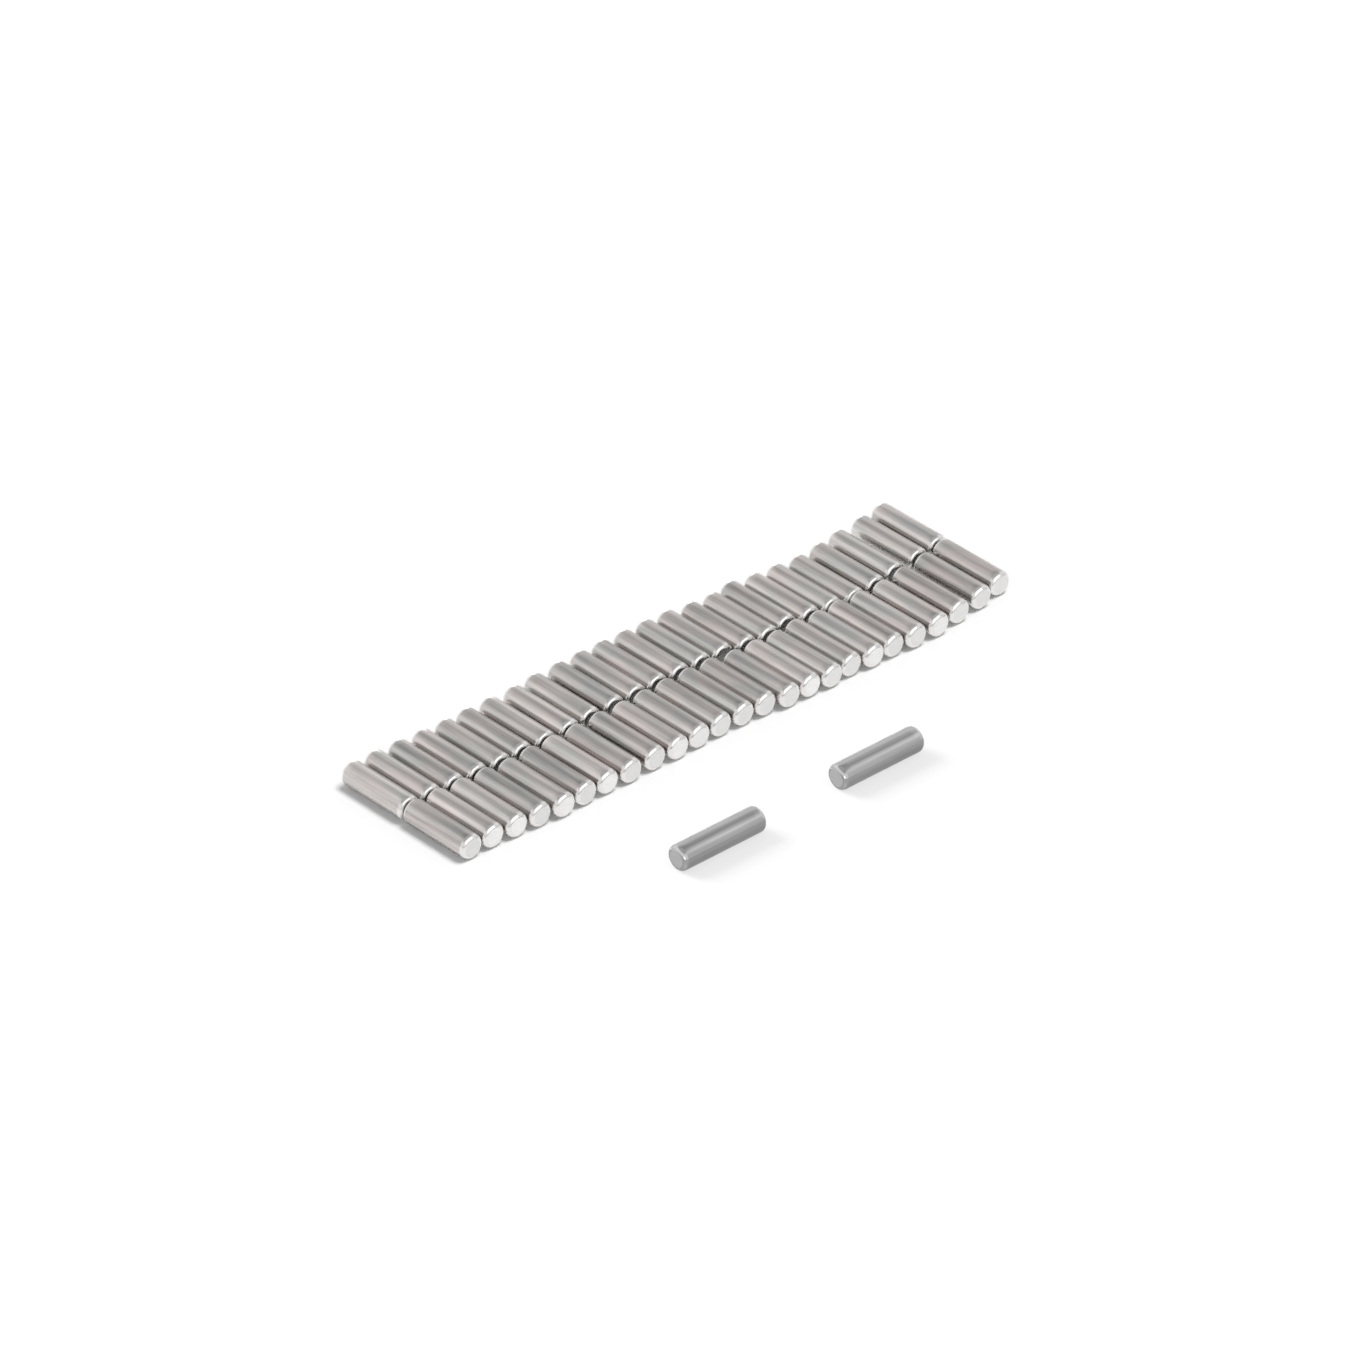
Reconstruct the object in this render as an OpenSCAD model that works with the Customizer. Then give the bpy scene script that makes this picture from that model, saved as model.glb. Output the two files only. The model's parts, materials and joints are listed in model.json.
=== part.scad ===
// Loose needle rollers for a needle roller bearing: two rows side by side, and two longer ones in front.
// Millimetres, Z up. Every roller lies on Z = 0, and the origin is under the middle of the whole set.
// A roller is a ground steel cylinder with two flat ends, and a small radius round each end.
// The rows run along X, so each row roller lies along Y. The loose rollers lie along X.

/* [Rollers] */
// Diameter of every roller
roller_d = 3; // [2:0.5:5]
// Length of a roller in the two rows
row_roller_l = 9.8; // [7.8:1:13.8]
// Length of each of the two loose rollers
loose_roller_l = 11.8; // [9.8:1:15.8]
// Radius round the edge of each flat end
edge_r = 0.55; // [0.1:0.05:0.6]

/* [Rows] */
// Rollers side by side in a row
columns = 25; // [8:1:27]
// Clearance between rollers that touch
touch_gap = 0.03; // [0.02:0.01:0.1]
// Widest gap between neighbours in a row
side_gap = 0.75; // [0.1:0.05:1]
// Widest gap between the ends of the two rows
seam_gap = 1; // [0.1:0.1:2]
// How far the rows wander along the rollers' axes
wander = 1.5; // [0:0.1:2]
// How far one roller may stand out of line with the next
unevenness = 0.12; // [0:0.02:0.2]
// Choice of the small random differences between rollers
seed = 98; // [1:1:99]

/* [Loose rollers] */
// Distance from where the rows meet to the loose rollers' axis
loose_y = 25.6; // [18:0.2:40]
// Distance between the loose rollers' near ends
loose_gap = 11.2; // [4:0.2:20]
// How far the pair lies to the left of the rows' middle
loose_left = 6.7; // [0:0.1:15]

/* [Hidden] */
row_steel = [0.66, 0.64, 0.62];
loose_steel = [0.7, 0.71, 0.72];
roller_r = roller_d / 2;
edge_steps = 4;

// Names of the nodes, counted from the left end of each row.
function two_digits(n) = str(n < 10 ? "0" : "", n);
function row_names(row) = [for (i = [1 : columns]) str(row, "_roller_", two_digits(i))];
back_names = row_names("back");
front_names = row_names("front");

// Small random differences, between -1 and 1, one list for each thing that varies.
function differences(count, turn) = rands(-1, 1, count, seed + turn);
x_differences = [differences(columns, 0), differences(columns, 100)];
y_differences = [differences(columns, 200), differences(columns, 300)];

// Stations along the rows: [share of the rows' length from the left end, share of the driving size].
// Neighbours stand a little apart on the left, touch right of the middle and open up at the right end.
side_gap_at = [
    [0, 0.22], [0.1, 0.1], [0.3, 0.45], [0.42, 0.2], [0.5, 0.2], [0.57, 0.01],
    [0.82, 0.01], [0.88, 0.55], [0.96, 1], [1, 0.35]
];
// The line where the rows meet: a shallow wave, then a bow towards the loose rollers near the right end.
wander_at = [
    [0, 0.26], [0.13, 0.06], [0.28, -0.08], [0.36, 0.2], [0.5, 0.24], [0.58, 0],
    [0.67, -0.44], [0.71, -0.18], [0.75, -0.46], [0.84, -0.97], [0.92, -0.3], [1, 0.24]
];
// The rows' ends touch at the left end and part in the middle.
seam_gap_at = [
    [0, 0.02], [0.08, 0.02], [0.17, 0.28], [0.29, 0.15], [0.34, 0.42], [0.54, 0.28], [0.585, 0.9],
    [0.63, 0.25], [0.71, 0.48], [0.79, 0.05], [0.84, 0.02], [0.9, 0.28], [0.96, 0.32], [1, 0.1]
];

function share(i) = i / (columns - 1);
function gap_after(i) = touch_gap + side_gap * lookup(i / (columns - 2), side_gap_at);
function column_x(i) = i == 0 ? 0 : column_x(i - 1) + roller_d + gap_after(i - 1);
// What a roller can move sideways without coming closer than touch_gap to a neighbour in either row.
function slack(i) = (min(gap_after(max(i - 1, 0)), gap_after(min(i, columns - 2))) - touch_gap) / 2;
function roller_x(row, i) = column_x(i) + slack(i) * x_differences[row][i];
function out_of_line(row, i) = unevenness * y_differences[row][i];
// The rows' near ends, Y = 0 where the rows would meet if they ran straight. Row 0 is the back row.
function back_end_y(i) = wander * lookup(share(i), wander_at) + out_of_line(0, i);
function seam(i) = touch_gap + seam_gap * lookup(share(i), seam_gap_at) + out_of_line(1, i) + unevenness;
function front_end_y(i) = back_end_y(i) - seam(i);
function roller_y(row, i) =
    row == 0 ? back_end_y(i) + row_roller_l / 2 : front_end_y(i) - row_roller_l / 2;

// The box round everything, which puts the origin under its middle.
rows_i = [0 : columns - 1];
left_x = min([for (row = [0, 1]) roller_x(row, 0)]) - roller_r;
right_x = max([for (row = [0, 1]) roller_x(row, columns - 1)]) + roller_r;
back_y = max([for (i = rows_i) roller_y(0, i)]) + row_roller_l / 2;
front_y = -loose_y - roller_r;
middle_x = (left_x + right_x) / 2;
middle_y = (back_y + front_y) / 2;
loose_middle_x = column_x(columns - 1) / 2 - loose_left;
loose_offset_x = (loose_gap + loose_roller_l) / 2;

// Half of a roller's section, from its axis outwards: a flat end, a rounded edge, then the ground side.
function edge_arc(y, from) = [
    for (k = [0 : edge_steps])
        let (a = from + 90 * k / edge_steps)
        [roller_r - edge_r + edge_r * cos(a), y + edge_r * sin(a)]
];

module needle_roller(length) {
    rotate_extrude($fn = 64)
        polygon(concat(
            [[0, -length / 2]],
            edge_arc(edge_r - length / 2, -90),
            edge_arc(length / 2 - edge_r, 0),
            [[0, length / 2]]
        ));
}

// A roller of the rows, lying along Y.
module row_roller(row, i) {
    color(row_steel)
        translate([roller_x(row, i) - middle_x, roller_y(row, i) - middle_y, roller_r])
            rotate([90, 0, 0])
                needle_roller(row_roller_l);
}

module back_roller(i) {
    row_roller(0, i);
}

module front_roller(i) {
    row_roller(1, i);
}

// A loose roller, lying along X, to the left (-1) or to the right (1).
module loose_roller(side) {
    color(loose_steel)
        translate([
            loose_middle_x + side * loose_offset_x - middle_x,
            -loose_y - middle_y,
            roller_r
        ])
            rotate([0, 90, 0])
                needle_roller(loose_roller_l);
}

for (i = rows_i) {
    back_roller(i);
    front_roller(i);
}
loose_roller(-1);  // loose_roller_left
loose_roller(1);  // loose_roller_right
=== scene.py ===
"""Looks for a set of loose needle rollers: two rows side by side, and two longer rollers in front.

Every roller is turned anew from its own profile, with worked end faces and nicked edges, and takes the
place of its CAD solid. Lengths are in metres and angles in degrees, unless a name says otherwise.
"""

import json
import math
import random

import bmesh
import bpy
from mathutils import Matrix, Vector, noise


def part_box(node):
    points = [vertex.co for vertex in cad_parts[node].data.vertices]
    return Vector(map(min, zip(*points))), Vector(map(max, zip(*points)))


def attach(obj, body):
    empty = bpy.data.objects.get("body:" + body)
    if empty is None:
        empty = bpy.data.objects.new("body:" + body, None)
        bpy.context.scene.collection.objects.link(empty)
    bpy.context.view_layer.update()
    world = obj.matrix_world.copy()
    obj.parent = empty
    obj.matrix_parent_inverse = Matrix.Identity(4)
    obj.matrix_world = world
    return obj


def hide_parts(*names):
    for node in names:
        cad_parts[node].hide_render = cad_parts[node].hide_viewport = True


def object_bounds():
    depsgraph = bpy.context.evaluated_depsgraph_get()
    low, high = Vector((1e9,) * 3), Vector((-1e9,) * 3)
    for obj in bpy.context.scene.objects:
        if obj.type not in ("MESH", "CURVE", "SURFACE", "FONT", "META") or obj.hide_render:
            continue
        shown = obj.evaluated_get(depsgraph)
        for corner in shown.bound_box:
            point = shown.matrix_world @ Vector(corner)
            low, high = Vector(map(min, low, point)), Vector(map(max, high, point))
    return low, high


MM = 0.001

# Camera
VIEW_AZIMUTH = -42.2
VIEW_ELEVATION = 32.9
VIEW_DISTANCE = 1081.08 * MM
AIM = Vector((-0.59, 8.19, 0.09)) * MM  # from the middle of the object's box
LENS_MM = 264.7
SENSOR_MM = 36
CLIP = (0.01, 20)

# Rollers
SIDES = 96
EDGE_RADIUS = 0.55 * MM
EDGE_STEPS = 7
FACE_RINGS = (0.25, 0.5, 0.75, 0.92)
BODY_RINGS = 12
EDGE_SPREAD = 0.03 * MM  # how far edge radii differ from roller to roller
FACE_DISH = 0.012 * MM
DIFFERENCES_SEED = 11
LOOSE_TONES = (0.98, 1.02)  # darkest and lightest of the loose rollers
ROW_TONES = (0.9, 1.08)
SEAM_PAINTED_SHADE = 0.78  # painted shade: the ends that face the other row are darkened, as they lie in shade in the gap between the rows

# Nicks in the rollers' edges: where slow noise round the edge rises past a threshold
NICK_DEPTH = 0.018 * MM
NICK_RATE = 2.2
NICK_THRESHOLD = 0.1
NICK_STEEPNESS = 2.5
NICK_LOT_STEP = 57  # keeps the noise of one roller away from the next one's
NICK_END_STEP = 9  # and that of a roller's two ends apart

# Steel. Each noise has its lumps per metre along the roller's axis, and then across it.
WHEEL_RINGS = (9000, 300, 300)
DRAWN_LINES = (120, 2900, 2900)
BROAD_BANDS = (50, 900, 900)
TINT_BLOTCHES = (170, 640, 640)
FACE_GRIT = (7000, 7000, 7000)
FACE_GRAIN = (7000, 900, 9000)
USUAL_NOISE = (0.3, 0.7)  # the range that most of a noise lies in
TINT_RANGE = (0.36, 0.66)  # from all warm to all cool
GRAIN_SHADES = (0.93, 1.05)
RING_ROUGHNESS = 0.02  # how much rougher or smoother the rings make the side
BLOTCH_ROUGHNESS = 0.03
BUMP_DEPTH = 0.0002 * MM  # the three heights below are shares of it
RING_HEIGHT = 0.22
LINE_HEIGHT = 0.6
GRIT_HEIGHT = 0.8
ROW_SLOT = "row_roller_steel"
LOOSE_SLOT = "loose_roller_steel"

# What is behind and under the rollers
BACKDROP = (1, 1, 1, 1)
FLOOR_RADIUS = 4.0
FLOOR_RINGS = 6
FLOOR_DROP = 0.002 * MM  # keeps the floor clear of the rollers' undersides
FLOOR_WHITE = (0.43, 0.43, 0.43, 1)  # the lamps burn it out to plain white outside the shadows
MIRRORED_Y = (-12 * MM, -8 * MM)  # between the loose rollers and the rows
MIRRORED_WHITE_AND_SHADE = (0.222, 0.455)  # what the steel mirrors on either side of that stretch: painted shade by the loose rollers, white by the rows

# The white tent round everything. Its brightness by height, from the horizon at 0 to straight above at 1.
TENT_STOPS = ((0.0, 0.84), (0.3, 0.9), (0.5, 0.98), (0.68, 0.78), (0.77, 0.58), (0.84, 0.36), (1.0, 0.55))
# Glows on the tent, and dim patches: azimuth, elevation, full within, gone by, and what they add.
TENT_GLOWS = (
    (-142, 36, 0, 40, 0.1),
    (139, 30, 5, 36, -0.12),
    (56, 47, 5, 22, 0.15),
    (38, 16, 5, 26, -0.22),
)
CARD_DISTANCE = 0.5
WINDOW_DISTANCE = 0.6


# ---------------------------------------------------------------- small helpers


def smooth(x):
    """0 below 0, 1 above 1, with a soft start and end."""
    x = min(max(x, 0.0), 1.0)
    return x * x * (3 - 2 * x)


def direction(azimuth, elevation):
    """Unit vector; azimuth 0 points along -Y and 90 along +X."""
    a, e = math.radians(azimuth), math.radians(elevation)
    return Vector((math.sin(a) * math.cos(e), -math.cos(a) * math.cos(e), math.sin(e)))


def place(name, data):
    """A new object in the scene."""
    obj = bpy.data.objects.new(name, data)
    bpy.context.scene.collection.objects.link(obj)
    return obj


def aim(obj, towards, axis):
    """Turns a camera or a light so that its axis points along a direction."""
    obj.rotation_mode = "QUATERNION"
    obj.rotation_quaternion = towards.to_track_quat(axis, "Y")


def skin(bm, rings):
    """Faces between each ring of vertices and the next. A ring may be a single point."""
    for a, b in zip(rings, rings[1:]):
        for k in range(SIDES):
            corners = [a[k % len(a)], a[(k + 1) % len(a)], b[(k + 1) % len(b)], b[k % len(b)]]
            bm.faces.new(list(dict.fromkeys(corners)))


def finished_mesh(name, bm):
    """The mesh that a bmesh has built."""
    mesh = bpy.data.meshes.new(name)
    bm.to_mesh(mesh)
    bm.free()
    return mesh


class Nodes:
    """Short ways to add nodes to one tree."""

    def __init__(self, tree):
        self.tree = tree
        tree.nodes.clear()

    def add(self, kind, **settings):
        node = self.tree.nodes.new(kind)
        for key, value in settings.items():
            setattr(node, key, value)
        return node

    def put(self, socket, value):
        if isinstance(value, bpy.types.NodeSocket):
            self.tree.links.new(value, socket)
        else:
            socket.default_value = value

    def math(self, operation, a, b=0.0, c=0.0, clamp=False):
        node = self.add("ShaderNodeMath", operation=operation, use_clamp=clamp)
        for socket, value in zip(node.inputs, (a, b, c)):
            self.put(socket, value)
        return node.outputs[0]

    def blend(self, factor, a, b, clamp=False):
        """A number that goes from a to b as the factor goes from 0 to 1."""
        return self.math("MULTIPLY_ADD", self.math("SUBTRACT", b, a), factor, a, clamp)

    def wave(self, texture, strength, middle):
        """A number that a noise moves up and down round its middle."""
        return self.math("MULTIPLY_ADD", self.math("SUBTRACT", texture, 0.5), strength, middle)

    def span(self, value, low, high, to_low, to_high, kind="LINEAR"):
        node = self.add("ShaderNodeMapRange", interpolation_type=kind)
        for socket, number in zip(node.inputs, (value, low, high, to_low, to_high)):
            self.put(socket, number)
        return node.outputs[0]

    def mix(self, factor, a, b):
        node = self.add("ShaderNodeMix", data_type="RGBA")
        self.put(node.inputs["Factor"], factor)
        self.put(node.inputs[6], a)
        self.put(node.inputs[7], b)
        return node.outputs[2]

    def scale(self, colour, factor):
        node = self.add("ShaderNodeVectorMath", operation="SCALE")
        self.put(node.inputs[0], colour)
        self.put(node.inputs["Scale"], factor)
        return node.outputs[0]

    def attribute(self, name):
        return self.add("ShaderNodeAttribute", attribute_name=name).outputs["Fac"]

    def coordinate(self, kind):
        return self.add("ShaderNodeTexCoord").outputs[kind]

    def split(self, vector):
        node = self.add("ShaderNodeSeparateXYZ")
        self.put(node.inputs[0], vector)
        return node.outputs

    def noise(self, vector, stretch, detail=2.0, roughness=0.5, distortion=0.0):
        """Noise whose lumps have the size 1 / stretch along each axis, in metres."""
        scaled = self.add("ShaderNodeVectorMath", operation="MULTIPLY")
        self.put(scaled.inputs[0], vector)
        scaled.inputs[1].default_value = stretch
        node = self.add("ShaderNodeTexNoise")
        self.put(node.inputs["Vector"], scaled.outputs[0])
        node.inputs["Scale"].default_value = 1.0
        node.inputs["Detail"].default_value = detail
        node.inputs["Roughness"].default_value = roughness
        node.inputs["Distortion"].default_value = distortion
        return node.outputs["Fac"]

    def plain(self, kind, colour):
        """A shader that has only a colour."""
        node = self.add(kind)
        self.put(node.inputs["Color"], colour)
        return node.outputs[0]

    def seen_or_mirrored(self, seen, mirrored):
        """One shader for what the camera sees directly, and another for what steel mirrors of it."""
        node = self.add("ShaderNodeMixShader")
        self.put(node.inputs[0], self.add("ShaderNodeLightPath").outputs["Is Camera Ray"])
        self.put(node.inputs[1], mirrored)
        self.put(node.inputs[2], seen)
        return node.outputs[0]

    def finish(self, kind, shader):
        self.put(self.add(kind).inputs["Surface"], shader)


def new_material(name):
    """An empty material and its nodes."""
    material = bpy.data.materials.new(name)
    material.use_nodes = True
    return material, Nodes(material.node_tree)


# ---------------------------------------------------------------- materials


def own_coordinates(n):
    """The roller's own coordinates, X along its axis, moved on by its lot so that no two are alike."""
    here = n.coordinate("Object")
    lot = n.attribute("lot")
    offset = n.add("ShaderNodeCombineXYZ")
    for socket in offset.inputs:
        n.put(socket, lot)
    moved = n.add("ShaderNodeVectorMath", operation="ADD")
    n.put(moved.inputs[0], here)
    n.put(moved.inputs[1], offset.outputs[0])
    return moved.outputs[0]


def steel_colour(n, steel, textures, on_edge, on_face):
    """Blotches of two tints with light and dark lines, plain edges, and end faces with a faint grain; the
    end faces toward the other row get painted shade.
    """
    # The tone attribute holds each roller's random tone, times painted shade on the end faces toward the
    # other row.
    tone = n.attribute("tone")
    tint = n.span(textures["blotch"], *TINT_RANGE, 0.0, 1.0, "SMOOTHSTEP")
    banded = n.wave(textures["bands"], steel["band"], tone)
    lit = n.wave(textures["lines"], steel["streak"], banded)
    body = n.scale(n.mix(tint, steel["warm"], steel["cool"]), lit)
    grain = n.span(textures["grain"], *USUAL_NOISE, *GRAIN_SHADES)
    face = n.scale(steel["face"][:3], n.math("MULTIPLY", tone, grain))
    return n.mix(on_face, n.mix(on_edge, body, steel["edge"]), face)


def steel_roughness(n, steel, textures, on_edge, on_face):
    """A little rougher and smoother in rings and blotches, with its own value on edges and end faces."""
    smoothest, roughest = steel["rough"] - RING_ROUGHNESS, steel["rough"] + RING_ROUGHNESS
    rings = n.span(textures["rings"], *USUAL_NOISE, smoothest, roughest)
    blotches = n.span(textures["blotch"], *USUAL_NOISE, -BLOTCH_ROUGHNESS, BLOTCH_ROUGHNESS)
    body = n.math("ADD", rings, blotches)
    end = n.blend(on_edge, body, steel["edge_rough"])
    return n.blend(on_face, end, steel["face_rough"], clamp=True)


def steel_relief(n, textures, on_face):
    """Rings and lines on the ground side, and grit and grain on the end faces."""
    lines = n.math("MULTIPLY", textures["lines"], LINE_HEIGHT)
    side = n.math("ADD", n.math("MULTIPLY", textures["rings"], RING_HEIGHT), lines)
    face = n.math("ADD", n.math("MULTIPLY", textures["grit"], GRIT_HEIGHT), textures["grain"])
    bump = n.add("ShaderNodeBump")
    bump.inputs["Strength"].default_value = 1.0
    bump.inputs["Distance"].default_value = BUMP_DEPTH
    n.put(bump.inputs["Height"], n.blend(on_face, side, face))
    return bump.outputs[0]


def ground_steel(name, **steel):
    """Ground steel: rings left by the grinding wheel, faint lines, blotches of tint, and matt end faces."""
    material, n = new_material(name)
    here = own_coordinates(n)
    textures = {
        "rings": n.noise(here, WHEEL_RINGS, detail=4, roughness=0.65),
        "lines": n.noise(here, DRAWN_LINES, detail=3, roughness=0.6),
        "bands": n.noise(here, BROAD_BANDS, detail=1),
        "blotch": n.noise(here, TINT_BLOTCHES, detail=3, roughness=0.55, distortion=0.4),
        "grit": n.noise(here, FACE_GRIT, detail=3, roughness=0.7),
        "grain": n.noise(here, FACE_GRAIN, detail=4, roughness=0.65),
    }
    on_edge, on_face = n.attribute("edge"), n.attribute("face")
    shader = n.add("ShaderNodeBsdfPrincipled")
    shader.inputs["Metallic"].default_value = 1.0
    n.put(shader.inputs["Base Color"], steel_colour(n, steel, textures, on_edge, on_face))
    n.put(shader.inputs["Roughness"], steel_roughness(n, steel, textures, on_edge, on_face))
    n.put(shader.inputs["Normal"], steel_relief(n, textures, on_face))
    n.finish("ShaderNodeOutputMaterial", shader.outputs[0])
    return material


def row_steel():
    """Satin steel of the rows, with warm and cool blotches."""
    return ground_steel(
        "row_steel",
        warm=(0.627, 0.575, 0.557, 1),
        cool=(0.548, 0.545, 0.529, 1),
        edge=(0.76, 0.745, 0.73, 1),
        face=(0.74, 0.735, 0.73, 1),
        rough=0.27,
        edge_rough=0.22,
        face_rough=0.3,
        streak=0.7,
        band=0.8,
    )


def loose_steel():
    """Shinier steel of the loose rollers, neutral in colour."""
    return ground_steel(
        "loose_steel",
        warm=(0.575, 0.575, 0.575, 1),
        cool=(0.545, 0.545, 0.545, 1),
        edge=(0.62, 0.62, 0.62, 1),
        face=(0.77, 0.77, 0.77, 1),
        rough=0.11,
        edge_rough=0.14,
        face_rough=0.42,
        streak=0.3,
        band=0.1,
    )


def paper_white(name):
    """The floor: white and matt. The steel mirrors it greyer by the loose rollers than by the rows, as
    painted shade.
    """
    material, n = new_material(name)
    # The grey that the steel mirrors is painted shade near the loose rollers, standing in for the floor's
    # shadow there.
    grey = n.span(n.split(n.coordinate("Object"))["Y"], *MIRRORED_Y, *MIRRORED_WHITE_AND_SHADE, "SMOOTHSTEP")
    seen = n.plain("ShaderNodeBsdfDiffuse", FLOOR_WHITE)
    mirrored = n.plain("ShaderNodeBsdfDiffuse", grey)
    n.finish("ShaderNodeOutputMaterial", n.seen_or_mirrored(seen, mirrored))
    return material


# ---------------------------------------------------------------- rollers


def half_profile(length, radius, edge):
    """(distance from the middle, radius, on the edge, on the face) from a face's centre to the body."""
    flat = radius - edge
    end = length / 2
    points = [(end - FACE_DISH, 0.0, 0.0, 1.0)]
    for share in FACE_RINGS:
        points.append((end - FACE_DISH * (1 - smooth(share)), flat * share, 0.0, 1.0))
    for step in range(EDGE_STEPS + 1):
        turn = math.radians(90 * step / EDGE_STEPS)
        x = end - edge * (1 - math.cos(turn))
        on_face = 1.0 if step == 0 else 0.0
        on_edge = 1.0 if 0 < step < EDGE_STEPS else 0.0
        points.append((x, flat + edge * math.sin(turn), on_edge, on_face))
    return points


def roller_profile(length, radius, edge):
    """The whole outline, from the centre of one face round to the centre of the other."""
    near = half_profile(length, radius, edge)
    far = [(-x, r, on_edge, on_face) for x, r, on_edge, on_face in reversed(near)]
    straight = length / 2 - edge
    between = []
    for i in range(1, BODY_RINGS):
        between.append((straight * (1 - 2 * i / BODY_RINGS), radius, 0.0, 0.0))
    return near + between + far


def nick(x, turn, lot, on_edge):
    """How far small knocks pull the edge in, at that turn round the roller."""
    along = lot * NICK_LOT_STEP + math.copysign(NICK_END_STEP, x)
    spot = Vector((math.cos(turn) * NICK_RATE, math.sin(turn) * NICK_RATE, along))
    return NICK_DEPTH * on_edge * smooth((noise.noise(spot) - NICK_THRESHOLD) * NICK_STEEPNESS)


def turn_roller(name, length, radius, tone, lot, seam_end):
    """A lathe-turned roller about its own X axis, with what the materials read kept on its vertices.

    seam_end is the sign of X at the end that faces the other row, or 0 if neither does. That end's face is
    darkened as painted shade.
    """
    profile = roller_profile(length, radius, EDGE_RADIUS + EDGE_SPREAD * (2 * lot - 1))
    bm = bmesh.new()
    layers = {key: bm.verts.layers.float.new(key) for key in ("edge", "face", "tone", "lot")}
    rings = []
    for x, r, on_edge, on_face in profile:
        ring = []
        # Painted shade: the end face toward the other row is darkened, as if in the shadow of the gap
        # between the rows.
        shade = tone * SEAM_PAINTED_SHADE if on_face and x * seam_end > 0 else tone
        for k in range(SIDES if r > 0 else 1):
            turn = math.tau * k / SIDES
            out = r - nick(x, turn, lot, on_edge)
            vert = bm.verts.new((x, out * math.cos(turn), out * math.sin(turn)))
            for key, value in (("edge", on_edge), ("face", on_face), ("tone", shade), ("lot", lot)):
                vert[layers[key]] = value
            ring.append(vert)
        rings.append(ring)
    skin(bm, rings)
    bmesh.ops.recalc_face_normals(bm, faces=bm.faces)
    for face in bm.faces:
        face.smooth = True
    return place(name, finished_mesh(name, bm))


def place_roller(node, body, material, tone, lot):
    """Turns the roller that stands for a CAD node and lays it where the node is."""
    low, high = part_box(node)
    size = high - low
    along_x = size.x > size.y
    seam_end = 0 if along_x else -1 if node.startswith("back") else 1
    obj = turn_roller("steel_" + node, max(size.x, size.y), size.z / 2, tone, lot, seam_end)
    obj.location = (low + high) / 2
    obj.rotation_euler = (0, 0, 0 if along_x else math.radians(90))
    obj.data.materials.append(material)
    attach(obj, body)
    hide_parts(node)
    return obj


def make_rollers(frame):
    """One turned roller for every node, each a little different. Returns the rows' and the loose ones."""
    rows = row_steel()
    loose = loose_steel()
    draw = random.Random(DIFFERENCES_SEED)
    in_rows, apart = [], []
    for body, nodes in frame["record"]["behaviour"]["bodies"].items():
        for node in nodes:
            is_loose = node.startswith("loose")
            material, slot = (loose, LOOSE_SLOT) if is_loose else (rows, ROW_SLOT)
            tone = draw.uniform(*(LOOSE_TONES if is_loose else ROW_TONES))
            obj = place_roller(node, body, material, tone, draw.random())
            (apart if is_loose else in_rows).append(obj)
    return in_rows, apart


# ---------------------------------------------------------------- studio


def circle(bm, radius):
    """A level ring of vertices, for the floor."""
    turns = [math.tau * k / SIDES for k in range(SIDES)]
    return [bm.verts.new((radius * math.cos(turn), radius * math.sin(turn), 0)) for turn in turns]


def make_floor():
    """A wide round floor, in rings, under the rollers."""
    bm = bmesh.new()
    rings = [[bm.verts.new((0, 0, 0))]]
    for i in range(1, FLOOR_RINGS + 1):
        rings.append(circle(bm, FLOOR_RADIUS * (i / FLOOR_RINGS) ** 2))
    skin(bm, rings[::-1])
    floor = place("studio_floor", finished_mesh("studio_floor", bm))
    floor.data.materials.append(paper_white("floor_white"))
    floor.location.z = -FLOOR_DROP
    return floor


def glow(n, towards, inner, outer, radiance):
    """A soft round patch of light: full within inner degrees of its middle, and gone by outer degrees."""
    dot = n.add("ShaderNodeVectorMath", operation="DOT_PRODUCT")
    n.put(dot.inputs[0], n.coordinate("Generated"))
    dot.inputs[1].default_value = towards
    low, high = math.cos(math.radians(outer)), math.cos(math.radians(inner))
    return n.span(dot.outputs["Value"], low, high, 0.0, radiance, "SMOOTHSTEP")


def tent_radiance(n):
    """A bright band round the sides and a dimmer top, with two glows and two dim patches."""
    band = n.add("ShaderNodeValToRGB")
    band.color_ramp.interpolation = "B_SPLINE"
    elements = band.color_ramp.elements
    while len(elements) < len(TENT_STOPS):
        elements.new(0.5)
    for element, (height, value) in zip(elements, TENT_STOPS):
        element.position = height
        element.color = (value, value, value, 1)
    n.put(band.inputs[0], n.split(n.coordinate("Generated"))["Z"])
    light = band.outputs[0]
    for azimuth, elevation, inner, outer, radiance in TENT_GLOWS:
        light = n.math("ADD", light, glow(n, direction(azimuth, elevation), inner, outer, radiance))
    return light


def make_world():
    """A white tent that the steel mirrors. The camera itself sees plain white."""
    world = bpy.data.worlds.new("studio")
    bpy.context.scene.world = world
    world.use_nodes = True
    n = Nodes(world.node_tree)
    seen = n.plain("ShaderNodeBackground", BACKDROP)
    tent = n.plain("ShaderNodeBackground", tent_radiance(n))
    n.finish("ShaderNodeOutputWorld", n.seen_or_mirrored(seen, tent))


def group(name, objects):
    """A collection for light linking."""
    made = bpy.data.collections.new(name)
    for obj in objects:
        made.objects.link(obj)
    return made


def place_light(name, data, towards, lit, shading):
    """Places a light aimed at the middle of the floor. It lights only lit, and only shading shades it."""
    light = place(name, data)
    aim(light, towards, "Z")
    light.visible_camera = False
    light.light_linking.receiver_collection = group("lit_by_" + name, lit)
    if shading:
        light.light_linking.blocker_collection = group("shading_" + name, shading)
    return light


def soft_light(name, towards, distance, size, radiance, lit, shading=()):
    """A rectangle that glows. Without shading, everything casts shadows in its light."""
    data = bpy.data.lights.new(name, "AREA")
    data.shape = "RECTANGLE"
    data.size, data.size_y = size
    data.energy = radiance * math.pi * size[0] * size[1]
    place_light(name, data, towards, lit, shading).location = towards * distance


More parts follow.
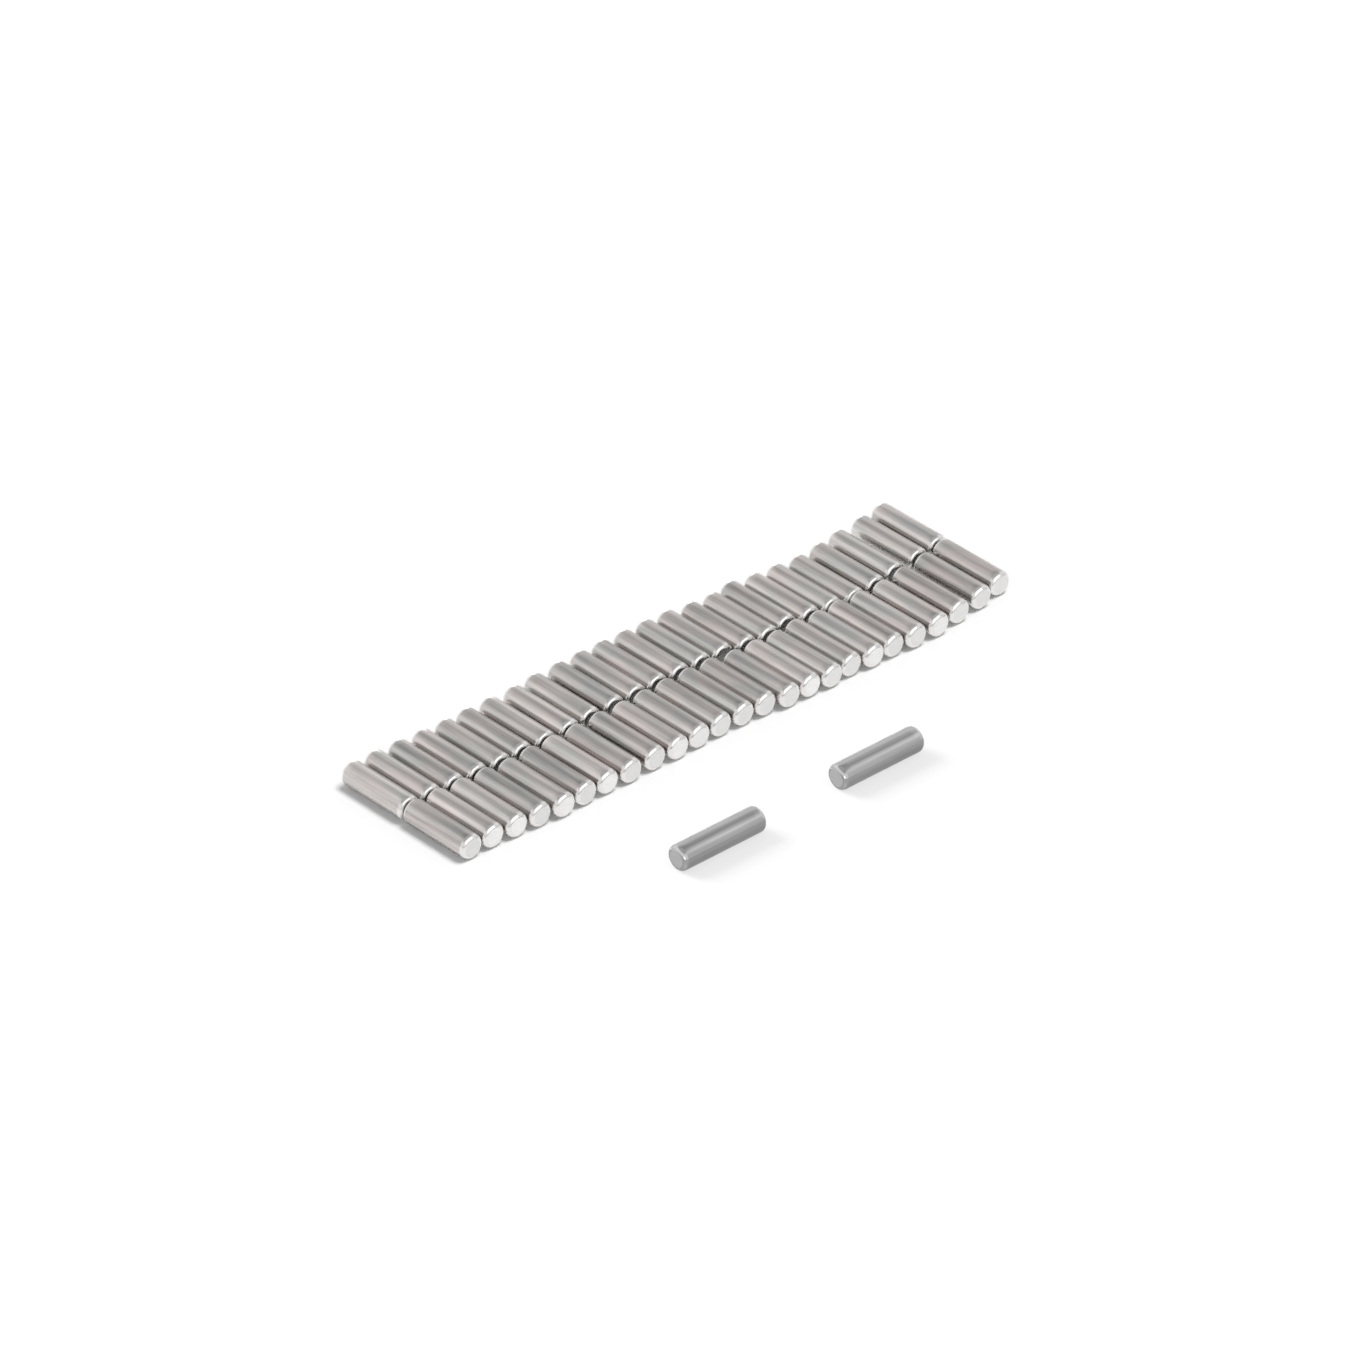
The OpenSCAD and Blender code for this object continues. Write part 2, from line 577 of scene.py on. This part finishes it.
def soft_sun(name, towards, spread, irradiance, lit, shading):
    """A wide sun, as strong far off as it is near."""
    data = bpy.data.lights.new(name, "SUN")
    data.angle = math.radians(spread)
    data.energy = irradiance
    place_light(name, data, towards, lit, shading)


def light_steel(rows, loose):
    """A window in front of the rows, and cards that the rollers' edges and bodies mirror."""
    back_row = [obj for obj in rows if obj.name.startswith("steel_back")]
    soft_light("window", direction(4, 30), WINDOW_DISTANCE, size=(0.66, 0.62), radiance=0.8, lit=rows)
    soft_light("card", direction(-53, 6), CARD_DISTANCE, size=(0.14, 0.12), radiance=4.0, lit=loose)
    soft_light(
        "front_card",
        direction(22, -6),
        CARD_DISTANCE,
        size=(0.5, 0.23),
        radiance=0.85,
        lit=rows,
        shading=rows,
    )
    soft_light("rim_card", direction(147, 7), CARD_DISTANCE, size=(0.12, 0.12), radiance=3.0, lit=back_row)
    soft_light(
        "toe_card",
        direction(-50, -54),
        CARD_DISTANCE,
        size=(0.24, 0.34),
        radiance=3.5,
        lit=loose,
        shading=rows,
    )


def light_floor(floor, rows, loose):
    """One sun whose shadows are the rows', and one whose shadows are the loose rollers'."""
    soft_sun("lamp", direction(44, 73), spread=26, irradiance=4.45, lit=[floor], shading=rows)
    soft_sun("back_lamp", direction(-155, 38), spread=28, irradiance=1.7, lit=[floor], shading=loose)


def make_camera(middle):
    """A long lens at the angle of view that shows the front ends and the left side."""
    data = bpy.data.cameras.new("camera")
    data.lens = LENS_MM
    data.sensor_width = SENSOR_MM
    data.clip_start, data.clip_end = CLIP
    camera = place("camera", data)
    back = direction(VIEW_AZIMUTH, VIEW_ELEVATION)
    camera.location = middle + AIM + back * VIEW_DISTANCE
    aim(camera, -back, "-Z")
    bpy.context.scene.camera = camera


with open("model.json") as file:
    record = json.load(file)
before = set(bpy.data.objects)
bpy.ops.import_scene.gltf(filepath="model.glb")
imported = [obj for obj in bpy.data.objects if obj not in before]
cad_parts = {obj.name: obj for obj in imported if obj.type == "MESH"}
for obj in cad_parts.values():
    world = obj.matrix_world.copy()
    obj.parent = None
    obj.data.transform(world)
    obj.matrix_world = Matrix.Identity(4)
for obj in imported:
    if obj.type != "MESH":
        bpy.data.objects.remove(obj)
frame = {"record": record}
cad_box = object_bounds()
bpy.context.scene.view_settings.view_transform = "Standard"
make_camera((cad_box[0] + cad_box[1]) / 2)
in_rows, apart = make_rollers(frame)
floor = make_floor()
make_world()
light_steel(in_rows, apart)
light_floor(floor, in_rows, apart)
